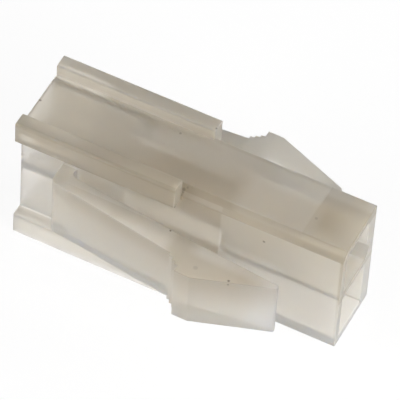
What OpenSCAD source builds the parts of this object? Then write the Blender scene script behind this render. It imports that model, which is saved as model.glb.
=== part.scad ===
// Two way connector housing, one moulding with snap in panel wings.
// Row frame: +X to the mouth, +Y to the far side, +Z up, origin under the middle of the rails' underside.

/* [Body] */
// length from the wire end to the mouth
body_l = 32; // [24:0.5:48]
// distance between the two terminal centres, and half the body height
pitch = 6.35; // [5:0.05:8]
// body width across the two side walls
body_w = 6.8; // [5.5:0.05:9]
// wall of the near side, roof and floor
wall = 0.75; // [0.6:0.05:1.2]
// wall of the far side at the sockets
key_wall = 1.5; // [0.8:0.05:2]
// inner wall between the two levels
septum_t = 0.6; // [0.4:0.05:1.2]
// polarising chamfer along the near top edge
chamfer = 0.9; // [0.3:0.05:1.5]

/* [Sockets and wire entries] */
// depth of the two mouth sockets
socket_depth = 12; // [8:0.5:18]
// depth of the two wire entries
wire_depth = 9; // [5:0.5:14]
// terminal bore through the middle web
neck_d = 3.4; // [2.4:0.1:4.4]
// corner radius inside the wire entries
entry_r = 0.5; // [0.2:0.1:1.2]
// length of the relieved roof at the mouth
relief_l = 4.5; // [2:0.1:8]
// how much thicker the roof is behind the relief
relief_t = 0.35; // [0.1:0.05:0.8]
// depth of the key groove in the far wall of the upper socket
key_d = 0.75; // [0.3:0.05:1]
// height of the key groove's upper edge above the septum
key_top = 2.3; // [1.5:0.1:4]
// height of the flat part of the key groove
key_flat = 1.1; // [0.4:0.1:2]

/* [Rails] */
// length of the four corner rails from the wire end
rail_l = 16; // [8:0.5:24]
// how far a rail stands out from the side wall
rail_out = 1.3; // [0.6:0.05:2.5]
// how far a rail laps in over the roof or floor
rail_in = 0.2; // [0.1:0.05:1]
// how far a rail rises above the roof or below the floor
rail_up = 1.2; // [0.6:0.05:2.5]
// height of a rail's outer face
rail_h = 2.5; // [1.5:0.05:4]
// edge radius along the rails
rail_r = 0.2; // [0.1:0.05:0.5]

/* [Wings] */
// distance from the wire end to the wing root
root_x = 4.35; // [2:0.05:8]
// length of the root block
root_l = 1.9; // [1:0.05:4]
// height of the wing at its root
root_h = 6.8; // [4:0.05:9]
// height of the wing from the steps to the tip
head_h = 6.2; // [4:0.05:9]
// reach of the arm's outer face at the root
root_out = 2.6; // [1.5:0.05:4]
// gap between the arm and the wall at the root
slot_w = 1.1; // [0.6:0.05:2]
// distance from the wire end to the first step
step_x = 17.42; // [12:0.02:24]
// reach of the arm's outer face at the first step
step_out = 4.26; // [3:0.02:6]
// number of small steps before the crest
steps = 3; // [1:1:6]
// advance of one step along the wing
step_run = 0.4; // [0.2:0.02:1]
// rise of one small step
step_rise = 0.3; // [0.2:0.02:0.8]
// reach of the crest
crest_out = 5.88; // [4:0.05:8]
// distance from the wire end to the end of the crest
crest_x = 20.15; // [16:0.05:26]
// distance from the wire end to the wing's tip
tip_x = 27.35; // [22:0.05:31]
// reach of the tip's outer face
tip_out = 3.2; // [2:0.05:6]
// thickness of the tip
tip_t = 0.42; // [0.3:0.02:1]
// corner radius at the wing's root
root_r = 0.6; // [0.2:0.05:1.2]
// degrees by which use has left both wings leaning to the near side
lean = 1; // [0:0.1:3]

/* [Hidden] */
body_h = 2 * pitch;
half_w = body_w / 2;
x0 = -body_l / 2;
z0 = rail_up;
z_mid = z0 + pitch;
socket_h = pitch - wall - septum_t / 2;
z_low = z0 + wall;
z_up = z_mid + septum_t / 2;
socket_w = body_w - wall - key_wall;
entry_w = body_w - 2 * wall;
web_l = body_l - socket_depth - wire_depth;
chamfer_in = chamfer - wall * (2 - sqrt(2));
y_key = half_w - key_wall;
past = 0.5;
$fn = 48;

// a bar along X whose section is drawn in Y and Z
module along_x(from, to) {
    translate([from, 0, 0])
        rotate([90, 0, 90])
            linear_extrude(height = to - from)
                children();
}

// outline of the body's section, with the polarising chamfer at the near top
module body_section() {
    polygon([
        [-half_w, z0],
        [half_w, z0],
        [half_w, z0 + body_h],
        [-half_w + chamfer, z0 + body_h],
        [-half_w, z0 + body_h - chamfer]
    ]);
}

// a rectangle with its four corners rounded
module rounded(size, r) {
    translate([0, r]) square([size.x, size.y - 2 * r]);
    translate([r, 0]) square([size.x - 2 * r, size.y]);
    for (x = [r, size.x - r], y = [r, size.y - r])
        translate([x, y]) circle(r = r);
}

// section of one rail at the near top corner, its free edges softly rounded
module rail_section() {
    translate([-half_w - rail_out, z0 + body_h + rail_up - rail_h])
        union() {
            rounded([rail_out + rail_in, rail_h], rail_r);
            translate([rail_out, 0]) square([rail_in, rail_h / 2]);
        }
}

// repeats the near top rail at the other three corners
module four_rails() {
    for (side = [0, 1], low = [0, 1])
        mirror([0, side, 0])
            translate([0, 0, low * 2 * z_mid])
                mirror([0, 0, low])
                    along_x(x0, x0 + rail_l) rail_section();
}

// plan of the near wing, X from the wire end and Y out from the wall
module wing_plan() {
    slot_x = root_x + root_l;
    slot_r = slot_w / 2;
    inner_tip = tip_out - tip_t;
    difference() {
        union() {
            polygon(concat(
                [
                    [root_x, -past / 2],
                    [root_x, root_out - root_r],
                    [root_x + root_r, root_out],
                    [step_x, step_out]
                ],
                [for (i = [0:steps - 1], k = [0, 1])
                    [step_x + (i + k) * step_run, step_out + (i + 1) * step_rise]],
                [
                    [step_x + steps * step_run, crest_out],
                    [crest_x, crest_out],
                    [tip_x, tip_out],
                    [tip_x + 0.12, tip_out - 0.16],
                    [tip_x + 0.12, inner_tip + 0.1],
                    [tip_x, inner_tip],
                    [slot_x, slot_w],
                    [slot_x, -past / 2]
                ]
            ));
            intersection() {
                translate([root_x + root_r, root_out - root_r]) circle(r = root_r);
                translate([root_x, root_out - root_r]) square([root_r, root_r]);
            }
        }
        translate([slot_x, slot_r]) circle(r = slot_r);
    }
}

// side view of the wing, which tapers from the root to the steps
module wing_side() {
    polygon([
        [root_x - past, -root_h / 2],
        [root_x + root_l, -root_h / 2],
        [step_x, -head_h / 2],
        [tip_x + past, -head_h / 2],
        [tip_x + past, head_h / 2],
        [step_x, head_h / 2],
        [root_x + root_l, root_h / 2],
        [root_x - past, root_h / 2]
    ]);
}

// near wing, cut from its plan and its side view, with X from the end of its root block
module wing() {
    translate([-root_x - root_l, 0, 0])
        intersection() {
            mirror([0, 1, 0])
                translate([0, 0, -root_h / 2])
                    linear_extrude(height = root_h) wing_plan();
            translate([0, past, 0])
                rotate([90, 0, 0])
                    linear_extrude(height = crest_out + 2 * past) wing_side();
        }
}

// both wings on the side walls, each turned a little about the end of its root block
module two_wings() {
    for (side = [-1, 1])
        translate([x0 + root_x + root_l, side * half_w, z_mid])
            rotate([0, 0, -lean])
                mirror([0, side + 1, 0]) wing();
}

// upper socket, with the inner chamfer, the key groove and the relieved roof
module upper_socket_section(drop) {
    top = z_up + socket_h - drop;
    polygon([
        [-half_w + wall, z_up],
        [y_key, z_up],
        [y_key + key_d, z_up + key_top - key_flat],
        [y_key + key_d, z_up + key_top],
        [y_key, z_up + key_top],
        [y_key, top],
        [-half_w + wall + chamfer_in, top],
        [-half_w + wall, top - chamfer_in]
    ]);
}

module lower_socket_section() {
    translate([-half_w + wall, z_low]) square([socket_w, socket_h]);
}

// wire entry with rounded corners
module entry_section(z) {
    translate([-entry_w / 2, z])
        rounded([entry_w, socket_h], entry_r);
}

// everything that is taken out of the body
module cavities() {
    mouth = -x0 + past;
    along_x(-x0 - socket_depth, mouth) upper_socket_section(relief_t);
    along_x(-x0 - relief_l, mouth) upper_socket_section(0);
    along_x(-x0 - socket_depth, mouth) lower_socket_section();
    for (z = [z_low, z_up]) {
        along_x(x0 - past, x0 + wire_depth) entry_section(z);
    }
    for (level = [-1, 1])
        translate([x0 + wire_depth - past, 0, z_mid + level * pitch / 2])
            rotate([0, 90, 0])
                cylinder(h = web_l + 2 * past, d = neck_d);
}

module housing() {
    color([0.85, 0.83, 0.77])
        difference() {
            union() {
                along_x(x0, -x0) body_section();
                four_rails();
                two_wings();
            }
            cavities();
        }
}

housing();
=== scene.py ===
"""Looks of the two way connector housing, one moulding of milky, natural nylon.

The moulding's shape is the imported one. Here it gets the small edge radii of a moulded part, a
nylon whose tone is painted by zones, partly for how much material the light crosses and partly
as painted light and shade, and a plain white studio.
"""

import logging
import math
from dataclasses import dataclass
from enum import Enum

import bmesh
import bpy
import numpy as np
from mathutils import Matrix, Vector


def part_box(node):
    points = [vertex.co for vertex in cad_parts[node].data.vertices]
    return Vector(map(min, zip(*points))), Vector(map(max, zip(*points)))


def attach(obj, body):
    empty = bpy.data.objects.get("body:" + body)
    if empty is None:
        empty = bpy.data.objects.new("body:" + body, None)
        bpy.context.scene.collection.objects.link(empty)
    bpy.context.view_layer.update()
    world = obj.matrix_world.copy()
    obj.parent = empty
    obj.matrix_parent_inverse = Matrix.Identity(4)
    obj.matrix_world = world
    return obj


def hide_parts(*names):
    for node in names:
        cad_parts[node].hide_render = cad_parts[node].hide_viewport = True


bpy.ops.wm.read_factory_settings(use_empty=True)
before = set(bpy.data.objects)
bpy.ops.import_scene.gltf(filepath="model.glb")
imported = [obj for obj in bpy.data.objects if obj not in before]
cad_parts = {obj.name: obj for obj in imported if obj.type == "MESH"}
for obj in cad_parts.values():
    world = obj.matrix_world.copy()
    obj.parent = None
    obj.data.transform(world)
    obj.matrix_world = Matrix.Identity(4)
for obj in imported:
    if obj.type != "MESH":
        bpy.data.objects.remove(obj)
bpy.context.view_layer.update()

MM = 0.001
LOG = logging.getLogger("connector_housing")

Triple = tuple[float, float, float]

# Blender's Mix node keeps its colour sockets at these places.
MIX_FIRST, MIX_SECOND, MIX_RESULT = 6, 7, 2
# Share of a speck's radius that is dirty all through, before its rim fades.
SPECK_CORE = 0.4
# A mould's polishing marks run along X, so the grain is drawn out that way.
GRAIN_STRETCH: Triple = (0.25, 1.0, 1.0)
CLOUD_DETAIL, GRAIN_DETAIL = 2.0, 4.0
# Height of the part's middle, which the camera and the lamps face.
MIDDLE_MM = 7.59


class Axis(Enum):
    """Axes of the part: X to the mouth, Y to the far side, Z up."""

    X = "X"
    Y = "Y"
    Z = "Z"


def to_linear(colour: Triple) -> tuple[float, float, float, float]:
    """Turns a colour as seen on a screen into the linear light that a shader takes.

    Args:
        colour: red, green and blue from 0 to 255.

    Returns:
        Linear red, green, blue and an alpha of 1.
    """
    part = np.asarray(colour, float) / 255.0
    light = np.where(part <= 0.04045, part / 12.92, ((part + 0.055) / 1.055) ** 2.4)
    return (*light.tolist(), 1.0)


class NodeBench:
    """Lays out shader nodes and the wires between them."""

    spacing = 190

    def __init__(self, tree: bpy.types.NodeTree) -> None:
        """Takes the node tree to work in."""
        self.tree = tree
        self.column = 0

    def add(self, kind: str, **settings: object) -> bpy.types.Node:
        """Puts a node on the bench.

        Args:
            kind: Blender's name for the node type.
            settings: attributes of the node to set.

        Returns:
            The new node.
        """
        node = self.tree.nodes.new(kind)
        node.location = (self.column * self.spacing, 0)
        self.column += 1
        for name, value in settings.items():
            setattr(node, name, value)
        return node

    def feed(self, socket: bpy.types.NodeSocket, value: object) -> None:
        """Wires another socket into this one, or sets it to a plain value."""
        if isinstance(value, bpy.types.NodeSocket):
            self.tree.links.new(value, socket)
        else:
            socket.default_value = value

    def sum(self, kind: str, first: object, second: object) -> bpy.types.NodeSocket:
        """Works out one step of arithmetic.

        Args:
            kind: the operation, such as ADD or MULTIPLY.
            first: left value, a number or a socket.
            second: right value, a number or a socket.

        Returns:
            The socket that holds the result.
        """
        node = self.add("ShaderNodeMath", operation=kind)
        self.feed(node.inputs[0], first)
        self.feed(node.inputs[1], second)
        return node.outputs[0]

    def blend(self, share: object, first: object, second: object) -> bpy.types.NodeSocket:
        """Mixes two colours.

        Args:
            share: how much of the second colour shows, from 0 to 1.
            first: colour or socket that shows at 0.
            second: colour or socket that shows at 1.

        Returns:
            The socket that holds the mixed colour.
        """
        node = self.add("ShaderNodeMix", data_type="RGBA", clamp_factor=True)
        self.feed(node.inputs["Factor"], share)
        self.feed(node.inputs[MIX_FIRST], first)
        self.feed(node.inputs[MIX_SECOND], second)
        return node.outputs[MIX_RESULT]

    def group(self, shared: bpy.types.NodeTree, **values: object) -> bpy.types.Node:
        """Places a shared group and fills its inputs by name.

        Args:
            shared: the node group.
            values: what goes into each input, with underscores for spaces.

        Returns:
            The placed group node.
        """
        node = self.add("ShaderNodeGroup", node_tree=shared)
        for name, value in values.items():
            self.feed(node.inputs[name.replace("_", " ")], value)
        return node


def new_group(
    name: str, takes: dict[str, tuple[str, object]], gives: dict[str, str]
) -> tuple[bpy.types.NodeTree, NodeBench, bpy.types.Node, bpy.types.Node]:
    """Starts a shader node group with named sockets.

    Args:
        name: what the group is called.
        takes: input name to its kind (Float, Vector or Color) and standard value.
        gives: output name to its kind.

    Returns:
        The group, a bench on it, its input node and its output node.
    """
    tree = bpy.data.node_groups.new(name, "ShaderNodeTree")
    for label, (kind, standard) in takes.items():
        socket = tree.interface.new_socket(
            label, in_out="INPUT", socket_type=f"NodeSocket{kind}"
        )
        socket.default_value = standard
    for label, kind in gives.items():
        tree.interface.new_socket(
            label, in_out="OUTPUT", socket_type=f"NodeSocket{kind}"
        )
    bench = NodeBench(tree)
    return tree, bench, bench.add("NodeGroupInput"), bench.add("NodeGroupOutput")


def window_group() -> bpy.types.NodeTree:
    """Builds the group for a soft window along one axis.

    The mask rises smoothly from 0 to 1 around From, and falls back to 0 around To. Each edge is
    twice the blur wide, and the two edges can have different blurs.

    Returns:
        The shared group.
    """
    tree, bench, takes, gives = new_group(
        "soft_window",
        {
            "Value": ("Float", 0.0),
            "From": ("Float", 0.0),
            "To": ("Float", 1.0),
            "From Blur": ("Float", 0.1),
            "To Blur": ("Float", 0.1),
        },
        {"Mask": "Float"},
    )
    edges = []
    for place, blur, low, high in (("From", "From Blur", 0.0, 1.0), ("To", "To Blur", 1.0, 0.0)):
        edge = bench.add("ShaderNodeMapRange", interpolation_type="SMOOTHSTEP", clamp=True)
        bench.feed(edge.inputs["Value"], takes.outputs["Value"])
        start = bench.sum("SUBTRACT", takes.outputs[place], takes.outputs[blur])
        stop = bench.sum("ADD", takes.outputs[place], takes.outputs[blur])
        bench.feed(edge.inputs["From Min"], start)
        bench.feed(edge.inputs["From Max"], stop)
        bench.feed(edge.inputs["To Min"], low)
        bench.feed(edge.inputs["To Max"], high)
        edges.append(edge.outputs["Result"])
    bench.feed(gives.inputs["Mask"], bench.sum("MULTIPLY", *edges))
    return tree


def speck_group() -> bpy.types.NodeTree:
    """Builds the group for one round speck, 1 inside the radius and 0 past the soft rim.

    Returns:
        The shared group.
    """
    tree, bench, takes, gives = new_group(
        "dirt_speck",
        {
            "Position": ("Vector", (0.0, 0.0, 0.0)),
            "Place": ("Vector", (0.0, 0.0, 0.0)),
            "Radius": ("Float", 0.15),
        },
        {"Mask": "Float"},
    )
    gap = bench.add("ShaderNodeVectorMath", operation="DISTANCE")
    bench.feed(gap.inputs[0], takes.outputs["Position"])
    bench.feed(gap.inputs[1], takes.outputs["Place"])
    rim = bench.add("ShaderNodeMapRange", interpolation_type="SMOOTHSTEP", clamp=True)
    bench.feed(rim.inputs["Value"], gap.outputs["Value"])
    core = bench.sum("MULTIPLY", takes.outputs["Radius"], SPECK_CORE)
    bench.feed(rim.inputs["From Min"], core)
    bench.feed(rim.inputs["From Max"], takes.outputs["Radius"])
    bench.feed(rim.inputs["To Min"], 1.0)
    bench.feed(rim.inputs["To Max"], 0.0)
    bench.feed(gives.inputs["Mask"], rim.outputs["Result"])
    return tree


def cloud_group() -> bpy.types.NodeTree:
    """Builds the group for the cloudiness and the faint tool marks of a moulded surface.

    Returns:
        The shared group, with a slow cloud from 0 to 1 and a fine height.
    """
    tree, bench, takes, gives = new_group(
        "moulded_surface",
        {
            "Position": ("Vector", (0.0, 0.0, 0.0)),
            "Cloud Scale": ("Float", 0.25),
            "Grain Scale": ("Float", 3.0),
        },
        {"Cloud": "Float", "Height": "Float"},
    )
    cloud = bench.add("ShaderNodeTexNoise")
    bench.feed(cloud.inputs["Vector"], takes.outputs["Position"])
    bench.feed(cloud.inputs["Scale"], takes.outputs["Cloud Scale"])
    cloud.inputs["Detail"].default_value = CLOUD_DETAIL
    stretch = bench.add("ShaderNodeVectorMath", operation="MULTIPLY")
    bench.feed(stretch.inputs[0], takes.outputs["Position"])
    stretch.inputs[1].default_value = GRAIN_STRETCH
    grain = bench.add("ShaderNodeTexNoise")
    bench.feed(grain.inputs["Vector"], stretch.outputs["Vector"])
    bench.feed(grain.inputs["Scale"], takes.outputs["Grain Scale"])
    grain.inputs["Detail"].default_value = GRAIN_DETAIL
    bench.feed(gives.inputs["Cloud"], cloud.outputs["Fac"])
    bench.feed(gives.inputs["Height"], grain.outputs["Fac"])
    return tree


@dataclass(frozen=True)
class SoftSpan:
    """A stretch along one axis, in millimetres, with soft ends."""

    start: float
    stop: float
    start_blur: float = 0.05
    stop_blur: float = 0.05


@dataclass(frozen=True)
class DepthAndShadeZone:
    """A soft box of the moulding painted deeper or shallower in tone, for more or less nylon than
    usual and as painted light and shade.

    An axis that is left out isn't limited.
    """

    name: str
    depth_and_shade: float
    x: SoftSpan | None = None
    y: SoftSpan | None = None
    z: SoftSpan | None = None

    def mask(
        self,
        bench: NodeBench,
        window: bpy.types.NodeTree,
        position: dict[Axis, bpy.types.NodeSocket],
    ) -> bpy.types.NodeSocket:
        """Wires the zone's mask: its depth and painted shade times one soft window per limited axis.

        Args:
            bench: where the material is laid out.
            window: the shared window group.
            position: the place on the part along each axis, in millimetres.

        Returns:
            The socket with the extra depth and painted shade.
        """
        total: object = self.depth_and_shade
        for axis, span in ((Axis.X, self.x), (Axis.Y, self.y), (Axis.Z, self.z)):
            if span is None:
                continue
            placed = bench.group(
                window,
                Value=position[axis],
                From=span.start,
                To=span.stop,
                From_Blur=span.start_blur,
                To_Blur=span.stop_blur,
            )
            total = bench.sum("MULTIPLY", total, placed.outputs["Mask"])
        return total


@dataclass(frozen=True)
class HousingSizes:
    """Places on the housing, in millimetres.

    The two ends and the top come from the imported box. The walls and lengths are the drawing's own.
    """

    rear: float
    mouth: float
    top: float
    half_width: float = 3.4
    rail_rise: float = 1.2
    rail_height: float = 2.5
    rail_reach: float = 1.3
    chamfer: float = 0.9
    wall: float = 0.75
    socket_depth: float = 12.0
    wire_depth: float = 9.0
    relief_length: float = 4.5
    septum: float = 0.6
    head_height: float = 6.2
    past: float = 1.0

    @classmethod
    def of(cls, node: str) -> "HousingSizes":
        """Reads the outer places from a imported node's box."""
        low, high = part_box(node)
        return cls(rear=low.x / MM, mouth=high.x / MM, top=high.z / MM)

    @property
    def roof(self) -> float:
        """Height of the roof."""
        return self.top - self.rail_rise

    @property
    def middle(self) -> float:
        """Height of the inner wall between the two levels."""
        return self.top / 2.0

    @property
    def septum_low(self) -> float:
        """Underside of the inner wall."""
        return self.middle - self.septum / 2

    @property
    def septum_up(self) -> float:
        """Upper side of the inner wall."""
        return self.middle + self.septum / 2

    @property
    def chamfer_low(self) -> float:
        """Height at which the near top chamfer begins."""
        return self.roof - self.chamfer

    @property
    def head_low(self) -> float:
        """Lower edge of a wing's head."""
        return self.middle - self.head_height / 2

    @property
    def head_up(self) -> float:
        """Upper edge of a wing's head."""
        return self.middle + self.head_height / 2

    @property
    def relief(self) -> float:
        """Where the thinner roof at the mouth begins."""
        return self.mouth - self.relief_length

    @property
    def socket(self) -> float:
        """Where the two sockets end and the solid web begins."""
        return self.mouth - self.socket_depth

    @property
    def web(self) -> float:
        """Where the solid web ends and the wire entries begin."""
        return self.rear + self.wire_depth

    @property
    def rail_end(self) -> float:
        """Where the rails end."""
        return (self.rear + self.mouth) / 2.0

    def on_roof(self) -> SoftSpan:
        """Heights of the roof's outer face alone."""
        return SoftSpan(self.roof - 0.5, self.roof + 0.3)

    def on_near_wall(self) -> SoftSpan:
        """Places across the part on the near side wall alone."""
        return SoftSpan(-self.half_width - 0.2, -self.half_width + 0.1)

    def on_chamfer(self) -> SoftSpan:
        """Places across the part on the near top chamfer alone."""
        near = -self.half_width
        return SoftSpan(near - 0.2, near + self.chamfer - 0.05, 0.05, 0.03)

    def over_sockets(self) -> SoftSpan:
        """The length of the sockets, out past the mouth."""
        return SoftSpan(self.socket, self.mouth + self.past, 0.12)

    def along_rails(self) -> SoftSpan:
        """The length of the rails, out past the wire end."""
        return SoftSpan(self.rear - self.past, self.rail_end + 0.1)


def wall_zones(at: HousingSizes) -> tuple[DepthAndShadeZone, ...]:
    """Lists the zones of the near side wall.

    The web between sockets and wire entries is solid, so it is deeper. Low places are painted
    lighter, as light from the floor would show them, and so are the socket walls and the wall in the
    slot behind the wing's arm, as painted light.

    Args:
        at: places on the housing.

    Returns:
        The soft boxes with their extra depth and painted light and shade.
    """
    wall, over_sockets = at.on_near_wall(), at.over_sockets()
    floor_in, slot_low = at.rail_rise + at.wall, at.head_low - 0.45
    body_height = SoftSpan(at.rail_rise, at.chamfer_low + 0.1)
    return (
        # Painted light: the wall is lighter towards the bottom, as light from the floor would make
        # it.
        DepthAndShadeZone("low_half", -0.40, z=SoftSpan(-9.0, at.middle - 0.55, 0.05, 6.5)),
        DepthAndShadeZone(
            "web_behind_wall",
            0.18,
            SoftSpan(at.web - 1.0, at.socket, 1.5, 0.12),
            wall,
            body_height,
        ),
        DepthAndShadeZone(
            "open_wire_end",
            -0.41,
            SoftSpan(at.rear - at.past, at.web - 2.5, 0.05, 2.5),
            wall,
            body_height,
        ),
        # Painted light: the wall over the two sockets, the septum's line and the floor's edge are
        # lighter.
        DepthAndShadeZone(
            "lower_socket_wall", -0.33, over_sockets, wall, SoftSpan(floor_in, at.septum_low)
        ),
        DepthAndShadeZone(
            "upper_socket_wall", -0.06, over_sockets, wall, SoftSpan(at.septum_up, at.chamfer_low)
        ),
        DepthAndShadeZone(
            "septum_line",
            -0.40,
            over_sockets,
            wall,
            SoftSpan(at.septum_low, at.septum_up, 0.1, 0.1),
        ),
        DepthAndShadeZone(
            "floor_edge",
            -0.61,
            over_sockets,
            wall,
            SoftSpan(at.rail_rise - 0.3, floor_in, 0.05, 0.08),
        ),
        # Painted light: the wall in the slot behind the wing's arm is lighter, lifting the shade in
        # the slot.
        DepthAndShadeZone(
            "rear_wall_in_slot",
            -0.40,
            SoftSpan(at.rear + 6.0, at.web + 1.5, 1.0, 2.0),
            wall,
            SoftSpan(slot_low, at.head_up + 1.0, 0.4, 0.8),
        ),
        DepthAndShadeZone(
            "web_wall_in_slot",
            0.06,
            SoftSpan(at.web + 1.5, at.socket, 2.0, 0.12),
            wall,
            SoftSpan(slot_low, at.roof - 3.4, 0.4, 1.2),
        ),
        DepthAndShadeZone(
            "mouth_wall_in_slot",
            -0.53,
            SoftSpan(at.socket, at.socket + 6.0, 0.12, 1.5),
            wall,
            SoftSpan(slot_low, at.middle + 1.2, 0.4, 0.8),
        ),
    )


def roof_zones(at: HousingSizes) -> tuple[DepthAndShadeZone, ...]:
    """Lists the zones of the roof and the near top chamfer.

    The web is solid under the roof, and the roof at the mouth, a step thinner, is painted darker.
    The near top chamfer has a painted shade, and the far side of the roof is painted lighter, as
    light let in along the key groove.

    Args:
        at: places on the housing.

    Returns:
        The soft boxes with their extra depth.
    """
    roof, on_chamfer, over_sockets = at.on_roof(), at.on_chamfer(), at.over_sockets()
    side, relief = at.half_width, at.relief
    split = at.chamfer_low + at.chamfer * 0.47
    chamfer_foot, chamfer_head = at.chamfer_low - 0.05, at.roof - 0.02
    return (
        DepthAndShadeZone(
            "web_under_roof",
            0.36,
            SoftSpan(at.web + 3.5, at.socket + 0.6, 2.5, 1.2),
            SoftSpan(-side - 0.2, 1.3, 0.05, 1.5),
            roof,
        ),
        DepthAndShadeZone(
            "relieved_roof",
            0.22,
            SoftSpan(relief, at.mouth + at.past, 0.12),
            SoftSpan(-side + 0.8, 2.3, 0.05, 0.35),
            roof,
        ),
        DepthAndShadeZone(
            "relieved_roof_core",
            0.24,
            SoftSpan(relief + 0.7, at.mouth - 1.8, 0.5, 1.3),
            SoftSpan(-1.7, 1.2, 0.9, 1.2),
            roof,
        ),
        # Painted shade: the near top chamfer is darker, most of all in its lower half.
        DepthAndShadeZone(
            "chamfer_low",
            0.44,
            over_sockets,
            on_chamfer,
            SoftSpan(chamfer_foot, split, 0.05, 0.1),
        ),
        DepthAndShadeZone(
            "chamfer_high",
            0.26,
            over_sockets,
            on_chamfer,
            SoftSpan(split, chamfer_head, 0.1, 0.02),
        ),
        DepthAndShadeZone(
            "chamfer_web",
            0.24,
            SoftSpan(at.rail_end - 1.0, at.socket, 1.0, 0.12),
            on_chamfer,
            SoftSpan(chamfer_foot, chamfer_head, 0.05, 0.02),
        ),
        # Painted light: the far side of the roof is lighter.
        DepthAndShadeZone(
            "far_roof_strip",
            -0.28,
            SoftSpan(at.socket + 2.0, relief + 0.1, 2.0),
            SoftSpan(1.2, side + 0.2, 0.8),
            roof,
        ),
        DepthAndShadeZone(
            "far_roof_corner",
            -0.07,
            SoftSpan(relief + 0.1, at.mouth + at.past, 0.5),
            SoftSpan(2.3, side + 0.2, 0.4),
            roof,
        ),
        DepthAndShadeZone(
            "far_roof_edge",
            0.13,
            SoftSpan(at.rail_end, relief + 0.2, 1.0),
            SoftSpan(side - 0.35, side + 0.1, 0.1),
            roof,
        ),
        DepthAndShadeZone(
            "far_roof_rear",
            -0.06,
            SoftSpan(at.rear - at.past, at.rail_end, 0.05, 3.0),
            SoftSpan(1.0, side, 1.0),
            roof,
        ),
        DepthAndShadeZone(
            "roof_by_near_edge",
            0.04,
            SoftSpan(at.socket, relief, 0.6, 0.2),
            SoftSpan(-side, -side + 2.0, 0.05, 1.0),
            roof,
        ),
    )


def wing_zones(at: HousingSizes) -> tuple[DepthAndShadeZone, ...]:
    """Lists the zones of the two wings.

    The near wing's head is thicker behind its crest and thin at its tip, and its arm is thin. The
    head's top face and upper band carry a painted shade, and its tip and the arm's lower edge a
    painted light.

    Args:
        at: places on the housing.

    Returns:
        The soft boxes with their extra depth.
    """
    side, head_low, head_up = at.half_width, at.head_low, at.head_up
    along_arm = SoftSpan(at.rear + 6.0, 1.4, 1.0, 0.4)
    head_roof = SoftSpan(head_up - 0.05, head_up + 0.15, 0.03)
    return (
        # Painted light and shade: the arm's lower edge and the head's tip are lighter, the head's
        # upper band and top face darker.
        DepthAndShadeZone(
            "arm_lower_edge",
            -0.46,
            SoftSpan(at.rear + 3.5, 1.6),
            SoftSpan(-side - 4.8, -side - 0.6),
            SoftSpan(head_low - 0.45, head_low + 0.45, 0.05, 0.3),
        ),
        DepthAndShadeZone(
            "arm_upper",
            0.22,
            along_arm,
            SoftSpan(-side - 4.6, -side - 2.0),
            SoftSpan(head_up - 1.4, head_up + 0.6, 1.0, 0.05),
        ),
        DepthAndShadeZone(
            "arm_top",
            -0.07,
            along_arm,
            SoftSpan(-side - 4.4, -side - 0.9),
            SoftSpan(head_up - 0.02, head_up + 0.6),
        ),
        DepthAndShadeZone(
            "head_upper",
            0.32,
            SoftSpan(1.8, 11.6),
            SoftSpan(-side - 6.6, -side - 2.8),
            SoftSpan(at.middle + 1.05, head_up - 0.05, 2.2, 0.04),
        ),
        DepthAndShadeZone(
            "head_tip",
            -0.34,
            SoftSpan(9.4, 12.5, 2.0),
            SoftSpan(-side - 6.6, -side - 2.6, 0.05, 0.1),
            SoftSpan(head_low - 0.15, head_up - 0.05, 0.05, 0.04),
        ),
        DepthAndShadeZone(
            "head_top",
            0.58,
            SoftSpan(1.0, 10.0, 1.0, 2.0),
            SoftSpan(-side - 6.6, -side - 1.6, 0.05, 1.0),
            head_roof,
        ),
        DepthAndShadeZone(
            "head_top_inner",
            -0.39,
            SoftSpan(3.0, 12.0, 1.0),
            SoftSpan(-side - 3.6, -side - 0.6, 0.6),
            head_roof,
        ),
        DepthAndShadeZone(
            "far_wing",
            -0.13,
            SoftSpan(at.rear + 4.0, 12.5),
            SoftSpan(side + 0.2, side + 6.6, 0.1),
            SoftSpan(head_low - 0.45, head_up + 0.65),
        ),
    )


def rail_zones(at: HousingSizes) -> tuple[DepthAndShadeZone, ...]:
    """Lists the zones of the rails, which are deeper than the walls, with painted shade at their
    edges.

    Args:
        at: places on the housing.

    Returns:
        The soft boxes with their extra depth.
    """
    along, side, top = at.along_rails(), at.half_width, at.top
    outer, foot = -side - at.rail_reach, top - at.rail_height
    near_rail = SoftSpan(outer - 0.3, -side + 0.3, 0.05, 0.1)
    rail_height = SoftSpan(foot - 0.05, top + 0.2)
    return (
        DepthAndShadeZone("near_rail", 0.15, along, near_rail, rail_height),
        DepthAndShadeZone(
            "near_rail_front",
            0.17,
            SoftSpan(at.rail_end - 9.0, at.rail_end + 0.1, 7.0),
            near_rail,
            rail_height,
        ),
        DepthAndShadeZone(
            "near_rail_rear",
            0.11,
            SoftSpan(at.rear - at.past, at.rear + 3.0, 0.05, 3.0),
            near_rail,
            rail_height,
        ),
        # Painted shadow: a dark band along the foot of the near rail, and painted shade along its
        # crest.
        DepthAndShadeZone(
            "near_rail_foot",
            0.19,
            along,
            SoftSpan(outer - 0.3, outer + 0.1),
            SoftSpan(foot - 0.1, foot + 0.3, 0.05, 0.15),
        ),
        DepthAndShadeZone(
            "near_rail_crest",
            0.17,
            along,
            SoftSpan(outer - 0.3, outer + 0.3),
            SoftSpan(top - 0.35, top + 0.2, 0.1),
        ),
        DepthAndShadeZone(
            "far_rail_inner",
            0.21,
            along,
            SoftSpan(side - 0.4, side - 0.05, 0.05, 0.1),
            SoftSpan(at.roof + 0.05, top - 0.1),
        ),
        DepthAndShadeZone(
            "far_rail_top",
            -0.06,
            along,
            SoftSpan(side - 0.1, side + at.rail_reach + 0.3, 0.1, 0.1),
            SoftSpan(top - 0.15, top + 0.2),
        ),
        DepthAndShadeZone(
            "low_rail",
            0.31,
            along,
            SoftSpan(outer - 0.3, -side + 0.2),
            SoftSpan(-0.1, at.rail_height + 0.1),
        ),
    )


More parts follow.
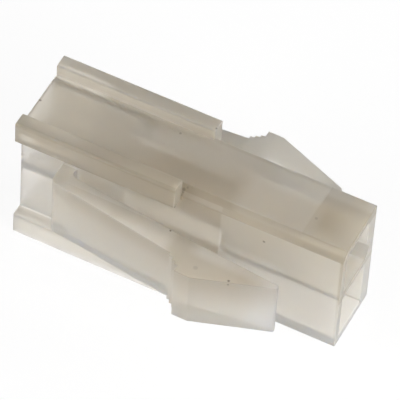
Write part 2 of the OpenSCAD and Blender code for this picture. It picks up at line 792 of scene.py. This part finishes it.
def mouth_zones(at: HousingSizes) -> tuple[DepthAndShadeZone, ...]:
    """Lists the zones of the mouth's rims and of the sockets' inner walls, with painted light inside
    the upper socket.

    Args:
        at: places on the housing.

    Returns:
        The soft boxes with their extra depth and painted light and shade.
    """
    side, septum_low, septum_up = at.half_width, at.septum_low, at.septum_up
    rim = SoftSpan(at.mouth - 0.1, at.mouth + 0.3, 0.03)
    along = SoftSpan(at.socket + 0.1, at.mouth - 0.1)
    across = SoftSpan(-side + 0.65, side - 0.6)
    ceiling = at.roof - at.wall + 0.15
    return (
        DepthAndShadeZone(
            "mouth_rim_top", 0.41, x=rim, z=SoftSpan(at.chamfer_low - 0.1, at.roof + 0.1, 0.1)
        ),
        DepthAndShadeZone(
            "mouth_rim_septum", 0.31, x=rim, z=SoftSpan(septum_low - 0.05, septum_up + 0.05)
        ),
        DepthAndShadeZone(
            "mouth_rim_near",
            0.43,
            SoftSpan(at.mouth - 0.25, at.mouth + 0.3, 0.1),
            SoftSpan(-side - 0.2, -side + at.wall + 0.1),
            SoftSpan(at.rail_rise - 0.1, at.chamfer_low),
        ),
        DepthAndShadeZone(
            "inside_sockets",
            0.10,
            along,
            across,
            SoftSpan(at.rail_rise + at.wall - 0.05, ceiling),
        ),
        # Painted light: the upper socket's inner walls are lighter.
        DepthAndShadeZone(
            "inside_upper_socket", -0.33, along, across, SoftSpan(septum_up - 0.05, ceiling)
        ),
    )


def depth_and_shade_zones(at: HousingSizes) -> tuple[DepthAndShadeZone, ...]:
    """Lists where the nylon is painted deeper or shallower than its usual wall, for its thickness
    and as painted light and shade, over the whole part.

    Args:
        at: places on the housing.

    Returns:
        The soft boxes with their extra depth and painted light and shade.
    """
    return wall_zones(at) + roof_zones(at) + wing_zones(at) + rail_zones(at) + mouth_zones(at)


@dataclass(frozen=True)
class Speck:
    """A speck of dirt on the surface, in millimetres, and how much of the nylon it hides."""

    place: Triple
    radius: float
    cover: float = 1.0


SPECKS = (
    Speck((-15.82, -0.24, 13.9), 0.17, 0.8),
    Speck((-3.04, 2.4, 13.9), 0.16, 0.5),
    Speck((0.2, -5.62, 10.68), 0.12),
    Speck((8.31, -3.4, 11.58), 0.18, 0.7),
    Speck((11.9, -0.53, 13.9), 0.2, 0.35),
    Speck((16.0, 1.87, 1.87), 0.18, 0.5),
    Speck((7.26, -8.19, 10.65), 0.17),
    Speck((7.32, -8.4, 10.35), 0.15, 0.6),
    Speck((4.04, -8.28, 10.65), 0.3, 0.3),
    Speck((-0.06, 3.55, 15.1), 0.14, 0.7),
    Speck((0.0, -3.3, 13.15), 0.2, 0.45),
    Speck((0.02, -3.1, 13.3), 0.2, 0.45),
    Speck((0.03, -2.92, 13.48), 0.22, 0.55),
    Speck((0.3, -2.7, 13.65), 0.16, 0.35),
)


@dataclass(frozen=True)
class NaturalNylon:
    """Uncoloured nylon: milky, waxy, greyer and yellower where it is thicker, in tones that also
    carry painted light and shade.
    """

    # The clear tone also stands for painted light, the other tone for painted shade as well as
    # thicker nylon.
    clear: Triple = (254, 250, 243)
    thick_and_shaded: Triple = (186, 175, 154)
    dirt: Triple = (92, 78, 62)
    usual_depth: float = 0.5
    cloudiness: float = 0.10
    roughness: float = 0.35
    grain_strength: float = 0.06
    grain_mm: float = 0.02
    refraction: float = 1.53
    reach_mm: float = 3.0
    reach_by_colour: Triple = (1.0, 0.92, 0.78)
    see_through: float = 0.75
    zones: tuple[DepthAndShadeZone, ...] = ()
    specks: tuple[Speck, ...] = ()

    def position(self, bench: NodeBench) -> bpy.types.NodeSocket:
        """Wires the place on the part.

        Args:
            bench: where the material is laid out.

        Returns:
            The socket with the place, in millimetres.
        """
        place = bench.add("ShaderNodeTexCoord")
        in_mm = bench.add("ShaderNodeVectorMath", operation="SCALE")
        bench.feed(in_mm.inputs[0], place.outputs["Object"])
        in_mm.inputs["Scale"].default_value = 1.0 / MM
        return in_mm.outputs["Vector"]

    def depth_and_shade(
        self,
        bench: NodeBench,
        position: bpy.types.NodeSocket,
        cloud: bpy.types.NodeSocket,
    ) -> object:
        """Wires the depth and painted shade: usual depth, every zone and a slow cloud.

        Args:
            bench: where the material is laid out.
            position: the place on the part, in millimetres.
            cloud: a slow noise from 0 to 1.

        Returns:
            The socket with the depth and painted shade, 0 for clear and lit and 1 for thicker and
            shaded.
        """
        split = bench.add("ShaderNodeSeparateXYZ")
        bench.feed(split.inputs[0], position)
        along = {axis: split.outputs[axis.value] for axis in Axis}
        window = window_group()
        depth_and_shade: object = self.usual_depth
        for zone in self.zones:
            depth_and_shade = bench.sum("ADD", depth_and_shade, zone.mask(bench, window, along))
        drift = bench.sum("SUBTRACT", cloud, 0.5)
        return bench.sum("ADD", depth_and_shade, bench.sum("MULTIPLY", drift, self.cloudiness))

    def soil(self, bench: NodeBench, position: bpy.types.NodeSocket) -> object:
        """Wires how much dirt covers the nylon.

        Args:
            bench: where the material is laid out.
            position: the place on the part, in millimetres.

        Returns:
            The cover from 0 to 1, the strongest of all the specks.
        """
        spot = speck_group()
        soil: object = 0.0
        for speck in self.specks:
            placed = bench.group(spot, Position=position, Place=speck.place, Radius=speck.radius)
            cover = bench.sum("MULTIPLY", placed.outputs["Mask"], speck.cover)
            soil = bench.sum("MAXIMUM", soil, cover)
        return soil

    def make(self) -> bpy.types.Material:
        """Builds the material.

        Returns:
            The nylon, ready for the moulding.
        """
        nylon = bpy.data.materials.new("natural_nylon_milky")
        nylon.use_nodes = True
        nylon.node_tree.nodes.clear()
        bench = NodeBench(nylon.node_tree)
        position = self.position(bench)
        surface = bench.group(cloud_group(), Position=position)
        depth_and_shade = self.depth_and_shade(bench, position, surface.outputs["Cloud"])
        # Painted light and shade: the zones blend the tone between the clear, lit colour and the
        # deep, shaded one.
        tone = bench.blend(depth_and_shade, to_linear(self.clear), to_linear(self.thick_and_shaded))
        colour = bench.blend(self.soil(bench, position), tone, to_linear(self.dirt))

        bump = bench.add("ShaderNodeBump")
        bump.inputs["Strength"].default_value = self.grain_strength
        bump.inputs["Distance"].default_value = self.grain_mm * MM
        bench.feed(bump.inputs["Height"], surface.outputs["Height"])

        shader = bench.add("ShaderNodeBsdfPrincipled")
        bench.feed(shader.inputs["Base Color"], colour)
        bench.feed(shader.inputs["Normal"], bump.outputs["Normal"])
        shader.inputs["Roughness"].default_value = self.roughness
        shader.inputs["IOR"].default_value = self.refraction
        shader.inputs["Subsurface Weight"].default_value = 1.0
        shader.inputs["Subsurface Scale"].default_value = self.reach_mm * MM
        shader.inputs["Subsurface Radius"].default_value = self.reach_by_colour
        shader.inputs["Transmission Weight"].default_value = self.see_through
        out = bench.add("ShaderNodeOutputMaterial")
        bench.feed(out.inputs["Surface"], shader.outputs["BSDF"])
        return nylon


@dataclass
class HousingMoulding:
    """The whole housing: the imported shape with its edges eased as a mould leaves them."""

    node: str = "housing"
    piece: str = "housing_moulding"
    slot: str = "natural_nylon"
    edge_radius_mm: float = 0.045
    edge_rings: int = 2
    crease_degrees: float = 28.0
    merge_mm: float = 0.001
    flat_degrees: float = 0.5

    def shape(self) -> bpy.types.Mesh:
        """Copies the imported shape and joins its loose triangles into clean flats.

        Returns:
            A closed mesh whose flat faces are single faces, with every crease marked sharp.
        """
        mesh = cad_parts[self.node].data.copy()
        mesh.name = self.piece
        work = bmesh.new()
        work.from_mesh(mesh)
        bmesh.ops.remove_doubles(work, verts=work.verts, dist=self.merge_mm * MM)
        bmesh.ops.dissolve_limit(
            work,
            angle_limit=math.radians(self.flat_degrees),
            verts=work.verts,
            edges=work.edges,
        )
        bmesh.ops.recalc_face_normals(work, faces=work.faces)
        work.to_mesh(mesh)
        work.free()
        mesh.shade_smooth()
        mesh.set_sharp_from_angle(angle=math.radians(self.crease_degrees))
        return mesh

    def ease_edges(self, housing: bpy.types.Object) -> None:
        """Rounds every crease to the small radius of a moulded edge.

        Args:
            housing: the moulding's object, which gets a live bevel.
        """
        bevel = housing.modifiers.new("eased_edges", "BEVEL")
        bevel.width = self.edge_radius_mm * MM
        bevel.segments = self.edge_rings
        bevel.limit_method = "ANGLE"
        bevel.angle_limit = math.radians(self.crease_degrees)
        bevel.use_clamp_overlap = False
        bevel.harden_normals = True
        bevel.miter_outer = "MITER_SHARP"

    def build(self, nylon: bpy.types.Material) -> bpy.types.Object:
        """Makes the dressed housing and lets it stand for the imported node.

        Args:
            nylon: the finish of the whole moulding.

        Returns:
            The housing's object.
        """
        mesh = self.shape()
        mesh.materials.clear()
        mesh.materials.append(nylon)
        housing = bpy.data.objects.new(self.piece, mesh)
        bpy.context.scene.collection.objects.link(housing)
        self.ease_edges(housing)
        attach(housing, "root")
        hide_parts(self.node)
        return housing


def direction(azimuth: float, elevation: float) -> Vector:
    """Gives the unit direction from the part towards a viewer or a lamp.

    Args:
        azimuth: degrees round the part, 0 at the near side and 90 at the mouth.
        elevation: degrees above the floor.

    Returns:
        The direction, in the part's axes.
    """
    turn, lift = math.radians(azimuth), math.radians(elevation)
    return Vector(
        (math.sin(turn) * math.cos(lift), -math.cos(turn) * math.cos(lift), math.sin(lift))
    )


@dataclass(frozen=True)
class Lamp:
    """A square soft lamp that faces the part."""

    name: str
    azimuth: float
    elevation: float
    power: float
    width: float = 0.30
    distance: float = 0.45

    def light(self, aim: Vector) -> bpy.types.Object:
        """Hangs the lamp.

        Args:
            aim: the point that the lamp faces, in metres.

        Returns:
            The lamp's object.
        """
        bulb = bpy.data.lights.new(self.name, "AREA")
        bulb.shape = "SQUARE"
        bulb.size = self.width
        bulb.energy = self.power
        lamp = bpy.data.objects.new(self.name, bulb)
        bpy.context.scene.collection.objects.link(lamp)
        away = direction(self.azimuth, self.elevation)
        lamp.location = aim + away * self.distance
        lamp.rotation_mode = "QUATERNION"
        lamp.rotation_quaternion = away.to_track_quat("Z", "Y")
        return lamp


@dataclass
class Studio:
    """White floor, even surroundings and soft lamps."""

    floor_span: float = 1.2
    floor_cells: int = 4
    floor_white: float = 0.86
    sky_level: float = 0.05
    white_share: float = 0.85
    white_glow: float = 1.06
    lamps: tuple[Lamp, ...] = (
        Lamp("near_left_lamp", -50.0, 18.0, 1.6),
        Lamp("mouth_lamp", 70.0, 18.0, 2.35),
        Lamp("far_lamp", 130.0, 20.0, 0.97),
    )

    def floor(self) -> bpy.types.Object:
        """Lays the floor: a flat square grid, x and y each running evenly across its span.

        Returns:
            The floor's object, just under the part.
        """
        steps = np.linspace(-0.5, 0.5, self.floor_cells + 1) * self.floor_span
        across, along = np.meshgrid(steps, steps, indexing="ij")
        points = np.stack([across, along, np.zeros_like(across)], -1).reshape(-1, 3)
        count = len(steps)
        index = np.arange(count * count).reshape(count, count)
        quads = np.stack(
            [index[:-1, :-1], index[1:, :-1], index[1:, 1:], index[:-1, 1:]], -1
        ).reshape(-1, 4)
        mesh = bpy.data.meshes.new("studio_floor")
        mesh.from_pydata(points.tolist(), [], quads.tolist())
        mesh.materials.append(self.floor_paint())
        floor = bpy.data.objects.new("studio_floor", mesh)
        bpy.context.scene.collection.objects.link(floor)
        return floor

    def seen_directly(self, bench: NodeBench) -> bpy.types.NodeSocket:
        """Wires a mask of the rays that see the studio itself.

        Args:
            bench: where the floor's or the sky's nodes are laid out.

        Returns:
            The socket, 1 for camera, glossy and transmission rays and 0 for all others.
        """
        ray = bench.add("ShaderNodeLightPath")
        glossy = bench.sum("MAXIMUM", ray.outputs["Is Camera Ray"], ray.outputs["Is Glossy Ray"])
        return bench.sum("MAXIMUM", glossy, ray.outputs["Is Transmission Ray"])

    def floor_paint(self) -> bpy.types.Material:
        """Builds the floor's paint: matt white that still takes a faint shadow.

        Returns:
            The paint, mostly plain white where it is seen, and matt for the light it throws back.
        """
        paint = bpy.data.materials.new("studio_white")
        paint.use_nodes = True
        paint.node_tree.nodes.clear()
        bench = NodeBench(paint.node_tree)
        matt = bench.add("ShaderNodeBsdfDiffuse")
        matt.inputs["Color"].default_value = (*[self.floor_white] * 3, 1.0)
        glow = bench.add("ShaderNodeEmission")
        glow.inputs["Color"].default_value = (1.0, 1.0, 1.0, 1.0)
        glow.inputs["Strength"].default_value = self.white_glow
        share = bench.sum("MULTIPLY", self.seen_directly(bench), self.white_share)
        mixed = bench.add("ShaderNodeMixShader")
        bench.feed(mixed.inputs[0], share)
        bench.feed(mixed.inputs[1], matt.outputs[0])
        bench.feed(mixed.inputs[2], glow.outputs[0])
        out = bench.add("ShaderNodeOutputMaterial")
        bench.feed(out.inputs["Surface"], mixed.outputs[0])
        return paint

    def surroundings(self) -> None:
        """Sets the sky: white where it is seen, softer where it lights the part."""
        world = bpy.data.worlds.new("studio_air")
        world.use_nodes = True
        world.node_tree.nodes.clear()
        bench = NodeBench(world.node_tree)
        seen = self.seen_directly(bench)
        level = bench.add("ShaderNodeMapRange", clamp=True)
        bench.feed(level.inputs["Value"], seen)
        bench.feed(level.inputs["To Min"], self.sky_level)
        bench.feed(level.inputs["To Max"], 1.0)
        back = bench.add("ShaderNodeBackground")
        back.inputs["Color"].default_value = (1.0, 1.0, 1.0, 1.0)
        bench.feed(back.inputs["Strength"], level.outputs["Result"])
        out = bench.add("ShaderNodeOutputWorld")
        bench.feed(out.inputs["Surface"], back.outputs["Background"])
        bpy.context.scene.world = world

    def build(self, aim: Vector) -> None:
        """Sets up floor, sky and lamps.

        Args:
            aim: the middle of the part, which the lamps face.
        """
        self.floor()
        self.surroundings()
        for lamp in self.lamps:
            lamp.light(aim)
        bpy.context.scene.view_settings.view_transform = "Standard"


@dataclass
class CameraStand:
    """A long lens from the near side and above, a little towards the mouth."""

    azimuth: float = 23.63
    elevation: float = 50.39
    roll: float = 4.13
    distance: float = 0.4038
    focal_mm: float = 404.1
    sensor_mm: float = 36.0
    aside_mm: float = 0.41
    above_mm: float = 0.82

    def build(self, middle: Vector) -> bpy.types.Object:
        """Stands the camera up.

        Args:
            middle: the middle of the part, in metres.

        Returns:
            The camera's object, which is also the scene's camera.
        """
        back = direction(self.azimuth, self.elevation)
        turn = math.radians(self.azimuth)
        level = Vector((math.cos(turn), math.sin(turn), 0.0))
        upright = back.cross(level)
        roll = math.radians(self.roll)
        right = level * math.cos(roll) + upright * math.sin(roll)
        up = upright * math.cos(roll) - level * math.sin(roll)
        aim = middle + (right * self.aside_mm + up * self.above_mm) * MM
        lens = bpy.data.cameras.new("view_camera")
        lens.lens = self.focal_mm
        lens.sensor_width = self.sensor_mm
        lens.clip_start = 0.01
        camera = bpy.data.objects.new("view_camera", lens)
        bpy.context.scene.collection.objects.link(camera)
        camera.matrix_world = Matrix.Translation(aim + back * self.distance) @ Matrix(
            (right, up, back)
        ).transposed().to_4x4()
        bpy.context.scene.camera = camera
        return camera


def main() -> None:
    """Builds the housing, its studio and the camera, and logs each piece."""
    logging.basicConfig(level=logging.INFO, format="%(name)s: %(message)s")
    middle = Vector((0.0, 0.0, MIDDLE_MM * MM))
    sizes = HousingSizes.of("housing")
    nylon = NaturalNylon(zones=depth_and_shade_zones(sizes), specks=SPECKS)
    housing = HousingMoulding().build(nylon.make())
    LOG.info("%s: %d faces before its edges are eased", housing.name, len(housing.data.polygons))
    Studio().build(middle)
    LOG.info("studio: floor, sky and lamps")
    camera = CameraStand().build(middle)
    LOG.info("%s stands %.3f m away", camera.name, (camera.location - middle).length)


if __name__ == "__main__":
    main()
